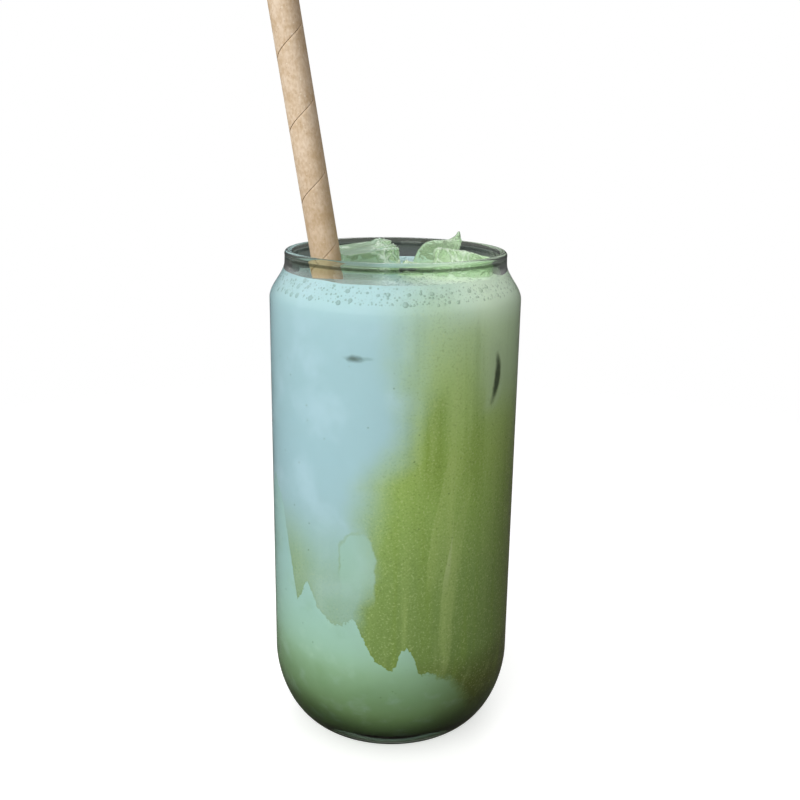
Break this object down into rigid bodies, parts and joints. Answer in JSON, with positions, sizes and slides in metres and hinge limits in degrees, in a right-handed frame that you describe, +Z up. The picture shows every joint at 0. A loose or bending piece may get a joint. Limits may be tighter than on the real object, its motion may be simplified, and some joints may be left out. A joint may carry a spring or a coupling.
{
  "type": "iced matcha latte",
  "caption": "Iced matcha latte in a tall can-shaped glass: green matcha running into pale milk, bubbles and broken ice on top, and a leaning kraft paper straw.",
  "frame": {"origin": "middle of the flat face that the glass stands on", "axes": "+Z up along the axis of the glass, -Y towards the side that the picture shows, +X to the right as seen from there; the straw leans towards -X"},
  "size_m": [0.076, 0.076, 0.2357],
  "materials": {
    "glass": "clear, smooth, fire-polished lip",
    "milk": "opaque liquid, cool pale milk",
    "matcha": "opaque liquid, fresh green tea with darker olive shades",
    "foam": "wet, full of small bubbles",
    "ice": "wet, clear to cloudy, cracked",
    "straw": "matt kraft paper, spirally wound"
  },
  "bodies": {
    "root": {"glass": "glass", "milk": "milk", "matcha": "matcha", "foam": "foam", "ice_left": "ice", "ice_right": "ice", "ice_chip": "ice", "ice_shard": "ice", "straw": "straw"}
  },
  "joints": []
}
